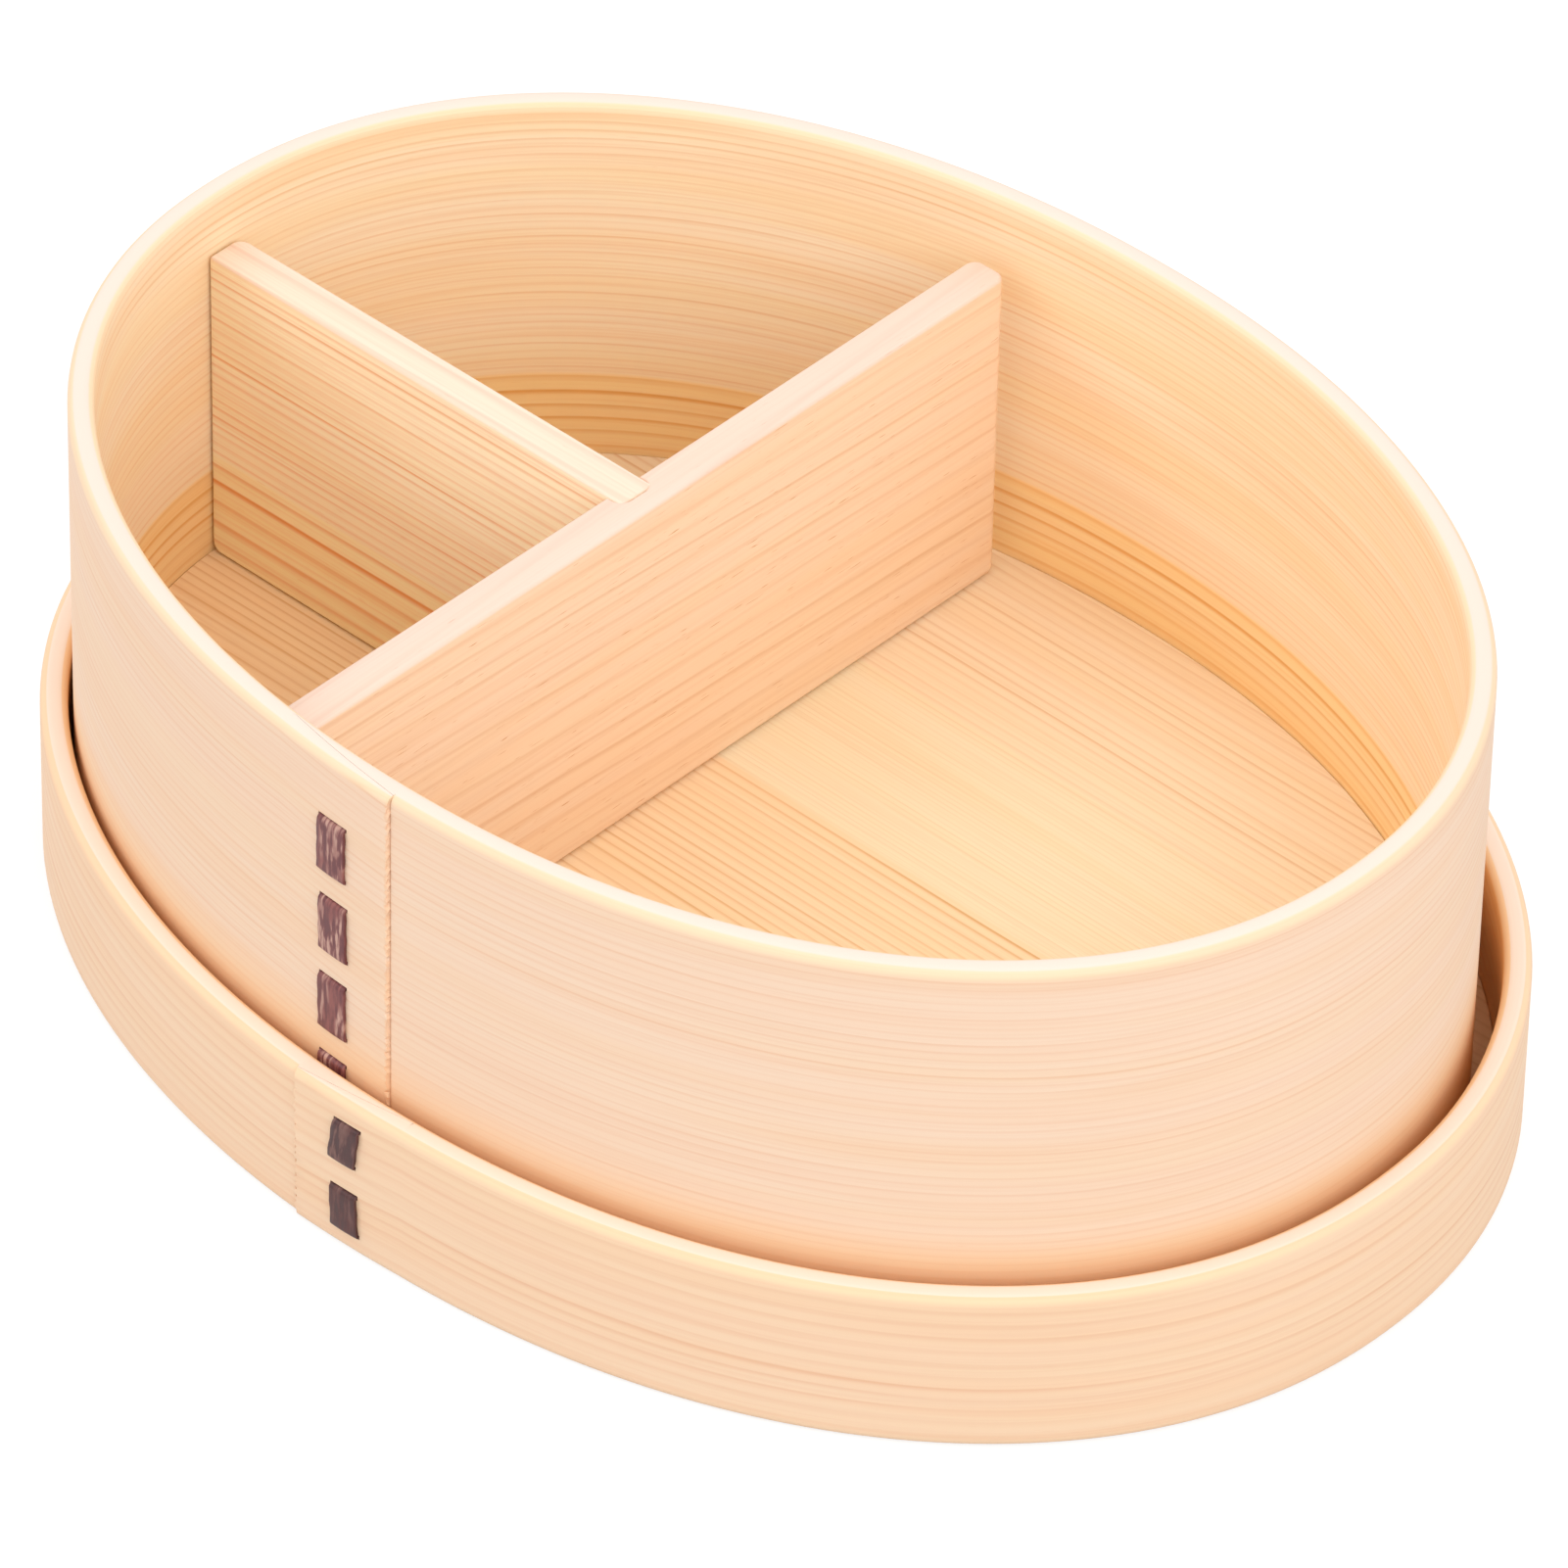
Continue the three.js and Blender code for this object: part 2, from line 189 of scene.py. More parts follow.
def stitch_runs(hoop, ribbon, gap, leans):
    """Each outer run's top and foot above the hoop's foot, and its sideways shift at both."""
    low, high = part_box(ribbon)
    first, last = high.z - hoop.foot, low.z - hoop.foot
    count = len(leans)
    length = (first - last - (count - 1) * gap) / count
    tops = [first - i * (length + gap) for i in range(count)]
    return [(top, top - length, *lean) for top, lean in zip(tops, leans)]


body_runs = stitch_runs(body_hoop, "body_bark_stitch", BODY_STITCH_GAP, BODY_LEANS)
lid_runs = stitch_runs(lid_hoop, "lid_bark_stitch", LID_STITCH_GAP, LID_LEANS)
print("body stitches", [round((top - foot) / MM, 1) for top, foot, *_ in body_runs], "mm long")

# %% Where its slits are
BARK_THICKNESS = 0.42 * MM
SLIT_ROOM = 0.12 * MM


def slits(hoop, runs, width):
    """Each slit as its ends along the flat board and its heights."""
    found = []
    reach = width / 2 + SLIT_ROOM
    half = BARK_THICKNESS / 2 + SLIT_ROOM
    for top, foot, top_shift, foot_shift in runs:
        upper, lower = top - BARK_THICKNESS / 2, foot + BARK_THICKNESS / 2
        for height, shift in ((upper, top_shift), (lower, foot_shift)):
            middle = hoop.lap / 2 + hoop.way * shift
            found.append((middle - reach, middle + reach, height - half, height + half))
    return found


body_slits = slits(body_hoop, body_runs, BODY_RIBBON)
lid_slits = slits(lid_hoop, lid_runs, LID_RIBBON)
print(len(body_slits), "slits in the body's lap and", len(lid_slits), "in the lid's")

# %% [markdown]
# ## Bending a board
# A ring could be made by bevelling a tube, but then the grain would have no flat board to come
# from, and the lap no two ends. So the board is modelled as the maker has it: a long straight
# box, cut into fine steps, slit where the bark goes through, and then bent.

# %% A straight board
LENGTH_CUTS = 260
HEIGHT_STEP = 0.55 * MM
ROUND_STEPS = 5
TINY = 1e-7


def rise(edge):
    """How far an edge climbs from one end to the other."""
    return abs(edge.verts[0].co.z - edge.verts[1].co.z)


def cut_across(bm, place, normal):
    geometry = bm.verts[:] + bm.edges[:] + bm.faces[:]
    bmesh.ops.bisect_plane(bm, geom=geometry, dist=TINY, plane_co=place, plane_no=normal)


def straight_board(hoop):
    """A box as long as the board, 1 through and 1 high, cut into steps."""
    bm = bmesh.new()
    bmesh.ops.create_cube(bm, size=1)
    bmesh.ops.translate(bm, vec=(0.5, -0.5, 0.5), verts=bm.verts)
    bmesh.ops.scale(bm, vec=(hoop.board_length, 1, 1), verts=bm.verts)
    lengthwise = [e for e in bm.edges if abs(e.verts[0].co.x - e.verts[1].co.x) > hoop.lap]
    bmesh.ops.subdivide_edges(bm, edges=lengthwise, cuts=LENGTH_CUTS, use_grid_fill=True)
    upright = [e for e in bm.edges if rise(e) > 0.5]
    cuts = round(hoop.height / HEIGHT_STEP)
    bmesh.ops.subdivide_edges(bm, edges=upright, cuts=cuts, use_grid_fill=True)
    for step in range(1, ROUND_STEPS + 1):
        inward = RIM_ROUND / hoop.wall * (1 - math.cos(step / ROUND_STEPS * math.pi / 2))
        cut_across(bm, (0, -inward, 0), (0, 1, 0))
        cut_across(bm, (0, inward - 1, 0), (0, 1, 0))
    for along in (hoop.lap, hoop.once_round):
        side = 1 if along == hoop.lap else -1
        for place in (along, along + side * SHOULDER, along + 2 * side * SHOULDER):
            cut_across(bm, (place, 0, 0), (1, 0, 0))
    return bm


# %% Slits through both layers of the lap
SLACK = 1e-6
SHARE_SLACK = 1e-5
FACING = 0.9


def height_share(hoop, height):
    return (height - hoop.foot_round) / (hoop.height - hoop.foot_round - RIM_ROUND)


def cut_slits(bm, hoop, openings):
    """Cuts round every slit first, so that no later cut crosses one, and then opens them."""
    for low, high, foot, top in openings:
        for layer in (0, hoop.once_round):
            for place in (low + layer, high + layer):
                cut_across(bm, (place, 0, 0), (1, 0, 0))
        for height in (foot, top):
            cut_across(bm, (0, 0, height_share(hoop, height)), (0, 0, 1))
    for low, high, foot, top in openings:
        shares = height_share(hoop, foot), height_share(hoop, top)
        for layer in (0, hoop.once_round):
            open_slit(bm, (low + layer, high + layer), shares)


def open_slit(bm, ends, shares):
    """Deletes a slit's patch on both faces of the board and walls it from face to face."""

    def within(point):
        beside = ends[0] - SLACK < point.x < ends[1] + SLACK
        return beside and shares[0] - SHARE_SLACK < point.z < shares[1] + SHARE_SLACK

    def on_face(face):
        return abs(face.normal.y) > FACING and within(face.calc_center_median())

    bmesh.ops.delete(bm, geom=[f for f in bm.faces if on_face(f)], context="FACES")
    edges = [e for e in bm.edges if e.is_boundary and all(within(v.co) for v in e.verts)]
    bmesh.ops.bridge_loops(bm, edges=edges)


# %% [markdown]
# The thin outer tip chips as it is pared, so its edge isn't a clean line. A row of waves sets
# that edge back by a fraction of a millimetre, and its inner side stays where it is, so the tip
# is also sloped. Each point keeps its place on the flat board in an attribute called board,
# which the wood's grain reads.

# %% From a straight board to a hoop
TIP_CHIPS = 0.7 * MM
CHIP_MIDDLE, CHIP_DEPTH = 0.5, 0.3
CHIP_WAVES = ((5.4, 1.0, 0.0), (3.1, 0.6, 1.3))
SHARP_ANGLE = math.radians(35)


def chipped_tip(height):
    """How far the tip's outer edge has chipped back at a height; its inner edge keeps its place."""
    wave = sum(size * math.sin(height / MM * pace + start) for pace, size, start in CHIP_WAVES)
    return TIP_CHIPS * (CHIP_MIDDLE + CHIP_DEPTH * wave)


def bent_board(name, hoop, openings):
    bm = straight_board(hoop)
    bm.normal_update()
    cut_slits(bm, hoop, openings)
    board = bm.verts.layers.float_vector.new("board")
    for vert in bm.verts:
        along, depth, share = vert.co
        if along < TINY:
            along = chipped_tip(share * hoop.height) * (1 + depth)
        inner, outer, skin = board_faces(hoop, along)
        offset = lerp(inner, outer, 1 + depth)
        height = height_at(hoop, offset, skin, share)
        vert[board] = (along, height, offset)
        vert.co = hoop.bend(along, offset, height)
    bmesh.ops.recalc_face_normals(bm, faces=bm.faces)
    return finished(bm, name)


def finished(bm, name):
    """Turns a bmesh into a smooth-shaded object with its sharp edges kept sharp."""
    mesh = bpy.data.meshes.new(name)
    for face in bm.faces:
        face.smooth = True
    bm.to_mesh(mesh)
    bm.free()
    mesh.set_sharp_from_angle(angle=SHARP_ANGLE)
    piece = bpy.data.objects.new(name, mesh)
    bpy.context.scene.collection.objects.link(piece)
    print(name, "has", len(mesh.polygons), "faces")
    return piece


bent_body = bent_board("bent_body", body_hoop, body_slits)
bent_lid = bent_board("bent_lid", lid_hoop, lid_slits)

# %% [markdown]
# ## Threading the bark
# A ribbon could be drawn as one patch per stitch, but a real one is a single strip, and its
# turned edges show where it dives into the wall. So a flat grid is cut as wide as the ribbon,
# and its rows are laid along a path with rounded corners. The path is worked out beside the
# flat board and bent with it, so the bark hugs the hoop's curve.

# %% The ribbon's path
BARK_CLEARANCE = 0.03 * MM
CORNER = 0.42 * MM
CORNER_STEPS = 4
RUN_STEP = 0.9 * MM
TRIMMED_AT = 0.9


def rounded_path(corners):
    """Points along straight stretches of (offset, height, shift) joined by small arcs."""
    points = [Vector(corners[0])]
    for before, corner, after in zip(corners, corners[1:], corners[2:]):
        corner = Vector(corner)
        enter = corner + (Vector(before) - corner).normalized() * CORNER
        leave = corner + (Vector(after) - corner).normalized() * CORNER
        steps = max(1, round((enter - points[-1]).length / RUN_STEP))
        points += [points[-1].lerp(enter, i / steps) for i in range(1, steps + 1)]
        for i in range(1, CORNER_STEPS + 1):
            share = i / CORNER_STEPS
            points.append(enter.lerp(corner, share).lerp(corner.lerp(leave, share), share))
    points.append(Vector(corners[-1]))
    return points


def ribbon_path(hoop, runs):
    """In front of the wall down each run and behind it between them, with both ends inside it."""
    half = BARK_THICKNESS / 2
    front = BARK_CLEARANCE + half
    back = -hoop.wall - BARK_CLEARANCE - half
    trimmed = -TRIMMED_AT * hoop.wall
    corners = []
    for i, (top, foot, top_shift, foot_shift) in enumerate(runs):
        corners.append((trimmed if i == 0 else back, top - half, top_shift))
        corners.append((front, top - half, top_shift))
        corners.append((front, foot + half, foot_shift))
        corners.append((trimmed if i == len(runs) - 1 else back, foot + half, foot_shift))
    return rounded_path(corners)


body_path = ribbon_path(body_hoop, body_runs)
lid_path = ribbon_path(lid_hoop, lid_runs)
print("ribbon paths of", len(body_path), "and", len(lid_path), "points")

# %% A flat strip laid along it
RIBBON_COLUMNS = 8
RIBBON_CROWN = 0.07 * MM
RIBBON_RAGGED = 0.06 * MM
RAGGED_PACE, RAGGED_SHIFT = 2.1, 9
WORN_EDGE = 0.07 * MM


def threaded_bark(name, hoop, path, width):
    rows = len(path) - 1
    bm = bmesh.new()
    bmesh.ops.create_grid(bm, x_segments=RIBBON_COLUMNS, y_segments=rows, size=0.5)
    strip = bm.verts.layers.float_vector.new("board")
    travelled = [0.0]
    for a, b in zip(path, path[1:]):
        travelled.append(travelled[-1] + (b - a).length)
    for vert in bm.verts:
        share, row = vert.co.x, round((vert.co.y + 0.5) * rows)
        offset, height, shift = path[row]
        ragged = RIBBON_RAGGED * math.sin(travelled[row] / MM * RAGGED_PACE + RAGGED_SHIFT * share)
        side = share * width + ragged * abs(2 * share)
        along = hoop.lap / 2 + side + hoop.way * shift
        if offset > -hoop.wall / 2:
            offset += board_faces(hoop, along)[2] + RIBBON_CROWN * (1 - (2 * share) ** 2)
        vert[strip] = (travelled[row], side, 0)
        vert.co = hoop.bend(along, offset, height)
    bmesh.ops.recalc_face_normals(bm, faces=bm.faces)
    ribbon = finished(bm, name)
    thickness = ribbon.modifiers.new("thickness", "SOLIDIFY")
    thickness.thickness, thickness.offset = BARK_THICKNESS, 0
    edges = ribbon.modifiers.new("worn edges", "BEVEL")
    edges.width, edges.segments, edges.limit_method = WORN_EDGE, 2, "ANGLE"
    return ribbon


body_bark = threaded_bark("body_bark", body_hoop, body_path, BODY_RIBBON)
lid_bark = threaded_bark("lid_bark", lid_hoop, lid_path, LID_RIBBON)

# %% [markdown]
# ## The oval boards
# Each board is sawn to the inside of its hoop and planed flat. A circle takes the oval's shape
# point by point, is extruded to the board's thickness, and its two rims are bevelled, because a
# maker eases every edge.

# %% Bottom and lid panel
PLATE_POINTS = 192
PLATE_EASE = 0.25 * MM
FINE_GAP = 0.06 * MM
EASE_STEPS = 3


def thicken(bm, height):
    """Raises a flat plan to a solid board."""
    raised = bmesh.ops.extrude_face_region(bm, geom=bm.faces[:])["geom"]
    lifted = [v for v in raised if isinstance(v, bmesh.types.BMVert)]
    bmesh.ops.translate(bm, vec=(0, 0, height), verts=lifted)
    bmesh.ops.recalc_face_normals(bm, faces=bm.faces)


def ease_edges(bm, edges, width, segments=EASE_STEPS):
    bmesh.ops.bevel(
        bm, geom=edges, offset=width, offset_type="OFFSET", segments=segments,
        profile=0.5, affect="EDGES", clamp_overlap=True, material=-1,
    )


def oval_board(name, hoop, node):
    low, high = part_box(node)
    bm = bmesh.new()
    bmesh.ops.create_circle(bm, cap_ends=True, radius=1, segments=PLATE_POINTS)
    for vert in bm.verts:
        x, y = hoop.point(math.atan2(vert.co.y, vert.co.x), -hoop.wall - FINE_GAP)
        vert.co = (hoop.centre.x + x, hoop.centre.y + y, low.z)
    thicken(bm, high.z - low.z)
    ease_edges(bm, [e for e in bm.edges if rise(e) < TINY], PLATE_EASE)
    return finished(bm, name)


bottom_board = oval_board("bottom_board", body_hoop, "body_bottom")
lid_board = oval_board("lid_board", lid_hoop, "lid_panel")

# %% [markdown]
# ## The dividers
# The long board crosses the box and has a housing cut down one face. The short board's end
# stands in it. Each starts as its plan: a rectangle, with the housing's patch deleted, extruded
# to its height. The upright corners are rounded first, but the end in the housing is left almost
# square so that it fills it. Then come the edges round the top and foot.

# %% The housing, and the corners that stay sharp
HOUSING_ROOM = 0.08 * MM


def take_out(bm, depth_x, front_y, back_y):
    """Cuts the plan along the housing's three sides and deletes the patch between them."""
    cut_across(bm, (depth_x, 0, 0), (1, 0, 0))
    cut_across(bm, (0, front_y, 0), (0, 1, 0))
    cut_across(bm, (0, back_y, 0), (0, 1, 0))
    centres = [(f, f.calc_center_median()) for f in bm.faces]
    patch = [f for f, centre in centres if centre.x < depth_x and front_y < centre.y < back_y]
    bmesh.ops.delete(bm, geom=patch, context="FACES")
    bmesh.ops.dissolve_limit(bm, angle_limit=math.radians(1), verts=bm.verts, edges=bm.edges)


def is_mouth(edge, low, housing):
    """The two edges at the housing's mouth, which stay sharp."""
    place = edge.verts[0].co
    return abs(place.x - low.x) < TINY and housing[1] - TINY < place.y < housing[2] + TINY


def is_square(edge, low, housed_x):
    """The housed end's edges, and the front edge of the other end."""
    place = edge.verts[0].co
    return abs(place.x - housed_x) < TINY or abs(place.y - low.y) < TINY


short_low, short_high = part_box("divider_short")
housing = (short_high.x + HOUSING_ROOM, short_low.y - HOUSING_ROOM, short_high.y + HOUSING_ROOM)
print("the housing is", round((housing[2] - housing[1]) / MM, 2), "mm wide")

# %% [markdown]
# A few slanting cuts take the lower corners off, as a file would, because the corner between
# the wall and the bottom is never quite sharp.

# %% Filing a lower corner round
FOOT_ROUND = 2 * MM
FILE_STROKES = 6


def file_corner(bm, low, high, way):
    """Slices a lower corner off in strokes that turn from upright to level round its centre."""
    up = Vector((0, 0, 1))
    end = Vector(high if sum(way) > 0 else low)
    centre = Vector((end.x, end.y, low.z)) + (up - way) * FOOT_ROUND
    for stroke in range(FILE_STROKES):
        turn = (stroke + 0.5) / FILE_STROKES * math.pi / 2
        slant = way * math.cos(turn) - up * math.sin(turn)
        geometry = bm.verts[:] + bm.edges[:] + bm.faces[:]
        place = centre + slant * FOOT_ROUND
        bmesh.ops.bisect_plane(
            bm, geom=geometry, dist=TINY, plane_co=place, plane_no=slant, clear_outer=True
        )
        open_edges = [e for e in bm.edges if e.is_boundary]
        bmesh.ops.holes_fill(bm, edges=open_edges, sides=0)


# %% Plan, thicken, round
CORNER_ROUND, UPRIGHT_STEPS = 1.5 * MM, 6
SQUARE_ROUND, SQUARE_STEPS = 0.3 * MM, 2
TOP_EASE = 0.4 * MM
FOOT_EASE = 0.7 * MM


def standing_board(name, node, ends, housing=None, housed_x=None):
    """A standing board. ends are the ways, along the board, in which its lower corners are round."""
    low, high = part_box(node)
    bm = bmesh.new()
    bmesh.ops.create_grid(bm, x_segments=1, y_segments=1, size=0.5)
    bmesh.ops.translate(bm, vec=(0.5, 0.5, 0), verts=bm.verts)
    bmesh.ops.scale(bm, vec=(high.x - low.x, high.y - low.y, 1), verts=bm.verts)
    bmesh.ops.translate(bm, vec=low, verts=bm.verts)
    if housing:
        take_out(bm, *housing)
    thicken(bm, high.z - low.z)
    upright = [e for e in bm.edges if rise(e) > TINY]
    mouth = [e for e in upright if housing and is_mouth(e, low, housing)]
    square = [e for e in upright if housed_x and is_square(e, low, housed_x)]
    ease_edges(bm, [e for e in upright if e not in mouth + square], CORNER_ROUND, UPRIGHT_STEPS)
    if square:
        ease_edges(bm, square, SQUARE_ROUND, SQUARE_STEPS)
    for level, width in ((high.z, TOP_EASE), (low.z, FOOT_EASE)):
        rim = [e for e in bm.edges if all(abs(v.co.z - level) < TINY for v in e.verts)]
        ease_edges(bm, rim, width)
    for way in ends:
        file_corner(bm, low, high, Vector(way))
    return finished(bm, name)


across_divider = standing_board("across_divider", "divider_long", [(0, -1, 0), (0, 1, 0)], housing)
along_divider = standing_board("along_divider", "divider_short", [(-1, 0, 0)], None, short_high.x)

# %% [markdown]
# ## A kit for wiring materials
# Materials are graphs of nodes. A few small helpers keep them readable: they write a colour,
# place a node and join its inputs, do arithmetic, ramp and blend values, open a group with named
# sockets, and draw noise out along a board as fibres are.

# %% Helpers for nodes
def colour(text):
    """A colour written as on screen, turned into light values."""
    parts = [int(text[i : i + 2], 16) / 255 for i in (0, 2, 4)]
    return [(p / 12.92 if p <= 0.04045 else ((p + 0.055) / 1.055) ** 2.4) for p in parts] + [1.0]


def node(tree, kind, inputs=None, **settings):
    """A node whose inputs are joined to other nodes' outputs or set to values."""
    made = tree.nodes.new("ShaderNode" + kind)
    for key, value in settings.items():
        setattr(made, key, value)
    for key, value in (inputs or {}).items():
        join(tree, value, made.inputs[key])
    return made


def join(tree, value, socket):
    if isinstance(value, bpy.types.NodeSocket):
        tree.links.new(value, socket)
    else:
        socket.default_value = value


def maths(tree, operation, a, b=0.0, c=0.0):
    return node(tree, "Math", {0: a, 1: b, 2: c}, operation=operation).outputs[0]


def ramp(tree, value, low, high, to_low=0.0, to_high=1.0):
    """A smooth step from to_low to to_high as value goes from low to high."""
    inputs = {"Value": value, "From Min": low, "From Max": high, "To Min": to_low, "To Max": to_high}
    return node(tree, "MapRange", inputs, interpolation_type="SMOOTHSTEP").outputs[0]


def blend(tree, share, a, b, way="MIX"):
    """Colour a, mixed with colour b by a share. The node keeps unused sockets for other types."""
    made = tree.nodes.new("ShaderNodeMix")
    made.data_type, made.blend_type = "RGBA", way
    for key, value in {"Factor": share, "A": a, "B": b}.items():
        join(tree, value, next(s for s in made.inputs if s.name == key and s.enabled))
    return next(s for s in made.outputs if s.enabled)


print("mid grey on screen is", round(colour("808080")[0], 3), "of full light")


# %% Groups and stretched noise
NOISE_ORIGIN = (17.3, 5.1, 9.7)


def open_group(name, inputs, outputs):
    tree = bpy.data.node_groups.new(name, "ShaderNodeTree")
    for label, kind, value in inputs:
        socket = tree.interface.new_socket(name=label, in_out="INPUT", socket_type="NodeSocket" + kind)
        if value is not None:
            socket.default_value = value
    for label, kind in outputs:
        tree.interface.new_socket(name=label, in_out="OUTPUT", socket_type="NodeSocket" + kind)
    return tree, tree.nodes.new("NodeGroupInput").outputs, tree.nodes.new("NodeGroupOutput").inputs


def stretched_noise(tree, board, scales, detail=2.0, seed=0.0):
    """Noise that is drawn out along the board: scales are cells per metre along, across, through."""
    place = node(tree, "VectorMath", {0: board, 1: scales}, operation="MULTIPLY").outputs[0]
    moved = node(tree, "VectorMath", {0: place, 1: NOISE_ORIGIN}, operation="ADD").outputs[0]
    shift = node(tree, "CombineXYZ", {0: seed, 1: seed}).outputs[0]
    place = node(tree, "VectorMath", {0: moved, 1: shift}, operation="ADD").outputs[0]
    return node(tree, "TexNoise", {"Vector": place, "Scale": 1.0, "Detail": detail}).outputs[0]


def one_line_noise(tree, place, detail):
    inputs = {"W": place, "Scale": 1.0, "Detail": detail}
    return node(tree, "TexNoise", inputs, noise_dimensions="1D").outputs[0]


# %% [markdown]
# ## Growth rings
# On a straight-grained board the year rings show as long lines. Each line starts as a slow
# darkening and ends sharply where the next spring's pale wood begins. Wave textures repeat too
# evenly, so the distance across the board is swayed by slow noise, divided by the ring's width,
# and split: its whole part numbers the year, and its fraction draws the line. The number also
# seeds how dark that year is. A log grew fast near its heart, so its rings are wider there, and
# the group squeezes the distance beyond the pale zone to widen them.

# %% One line for each year
WIDTHS_PER_METRE = 60.0
LINE_END = 0.88
LINE_CURVE = 1.2
DECADE_PACE = 0.31


def year_lines(tree, across, enter):
    """One line per year, slow to darken and quick to end, each year as dark as its number says."""
    seed = enter["Seed"]
    wide = one_line_noise(tree, maths(tree, "MULTIPLY_ADD", across, WIDTHS_PER_METRE, seed), 2.0)
    uneven = maths(tree, "MULTIPLY_ADD", maths(tree, "SUBTRACT", wide, 0.5), enter["Uneven"], across)
    years = maths(tree, "DIVIDE", uneven, enter["Ring Width"])
    year = maths(tree, "FLOOR", years)
    part = maths(tree, "FRACT", years)
    growing = ramp(tree, part, maths(tree, "SUBTRACT", LINE_END, enter["Line Share"]), LINE_END)
    growing = maths(tree, "POWER", growing, LINE_CURVE)
    line = maths(tree, "MULTIPLY", growing, ramp(tree, part, LINE_END, 1.0, 1.0, 0.0))
    numbered = maths(tree, "ADD", year, seed)
    lone = node(tree, "TexWhiteNoise", {"W": numbered}, noise_dimensions="1D").outputs[0]
    decade = one_line_noise(tree, maths(tree, "MULTIPLY", numbered, DECADE_PACE), 0.0)
    group = ramp(tree, decade, 0.3, 0.7, 0.65, 1.0)
    dark = maths(tree, "MULTIPLY_ADD", maths(tree, "POWER", lone, 3.0), 0.5, 0.5)
    return maths(tree, "MULTIPLY", line, maths(tree, "MULTIPLY", dark, group))


# %% The ring group
RING_INPUTS = [
    ("Board", "Vector", None), ("Ring Width", "Float", 1.3 * MM), ("Heart Rings", "Float", 1.0),
    ("Pale Middle", "Float", 0.0), ("Pale Half", "Float", 1.0), ("Uneven", "Float", 4 * MM),
    ("Slant", "Float", 0.0), ("Through", "Float", 0.5), ("Sway", "Float", 1.5 * MM),
    ("Line Share", "Float", 0.5), ("Seed", "Float", 0.0),
]
SLOW_SWAY, QUICK_SWAY, QUICK_SHARE = (6, 28, 60), (38, 150, 200), 0.16
HEART_BORDER = 0.5 * MM
LINE_FADING = (14, 500, 300)


def ring_group():
    outputs = [("Late Wood", "Float"), ("Heart", "Float"), ("Side", "Float")]
    tree, enter, leave = open_group("growth rings", RING_INPUTS, outputs)
    board, seed, half = enter["Board"], enter["Seed"], enter["Pale Half"]
    place = node(tree, "SeparateXYZ", {0: board}).outputs
    slow = maths(tree, "SUBTRACT", stretched_noise(tree, board, SLOW_SWAY, 1.0, seed), 0.5)
    quick = maths(tree, "SUBTRACT", stretched_noise(tree, board, QUICK_SWAY, 1.0, seed), 0.5)
    both = maths(tree, "MULTIPLY_ADD", quick, QUICK_SHARE, slow)
    across = maths(tree, "MULTIPLY_ADD", both, enter["Sway"], place["Y"])
    across = maths(tree, "MULTIPLY_ADD", place["X"], enter["Slant"], across)
    across = maths(tree, "MULTIPLY_ADD", place["Z"], enter["Through"], across)
    signed = maths(tree, "SUBTRACT", across, enter["Pale Middle"])
    pale = maths(tree, "MAXIMUM", maths(tree, "MINIMUM", signed, half), maths(tree, "MULTIPLY", half, -1.0))
    beyond = maths(tree, "SUBTRACT", signed, pale)
    heart = ramp(tree, maths(tree, "ABSOLUTE", beyond), 0.0, HEART_BORDER)
    squeezed = maths(tree, "ADD", maths(tree, "DIVIDE", beyond, enter["Heart Rings"]), pale)
    line = year_lines(tree, squeezed, enter)
    fading = stretched_noise(tree, board, LINE_FADING, 2.0, seed)
    line = maths(tree, "MULTIPLY", line, ramp(tree, fading, 0.3, 0.65, 0.6, 1.0))
    tree.links.new(line, leave["Late Wood"])
    tree.links.new(heart, leave["Heart"])
    tree.links.new(signed, leave["Side"])
    return tree


growth_rings = ring_group()
print("group", growth_rings.name, "with", len(growth_rings.nodes), "nodes")

# %% [markdown]
# ## Planed wood
# All the boards share one recipe. A log is paler near its bark and warmer near its heart, so
# each board has a pale zone with faint lines and warm zones above and below it with strong ones,
# and the borders follow the rings. Between the lines the wood drifts a little from yellow to
# pink. Fine fibres streak along the grain, and now and then a short dark fleck shows. The group
# puts out the colour, a roughness and a height, and each wood has its own values.

# %% The planed wood group
PLANED_INPUTS = [
    *RING_INPUTS, ("Pale", "Color", colour("f6dcc0")), ("Warm Low", "Color", colour("fddfb2")),
    ("Warm High", "Color", colour("fde8ca")), ("Line", "Color", colour("d08a38")),
    ("Line Amount", "Float", 0.5), ("Pale Lines", "Float", 0.6), ("Drift Amount", "Float", 0.2),
    ("Fibre Amount", "Float", 0.12), ("Fleck Amount", "Float", 0.1),
]
YELLOW_DRIFT = ((9, 190, 200), 0.0, "fff4d2")
PINK_DRIFT = ((16, 310, 200), 31.0, "ffeee2")
ZONE_BORDER = 1 * MM
UPPER_LINES_LOST = 0.35
FIBRES, FLECKS = (26, 2100, 2100), (300, 5200, 5200)
SMOOTHEST, FIBRE_ROUGHNESS = 0.5, 0.16


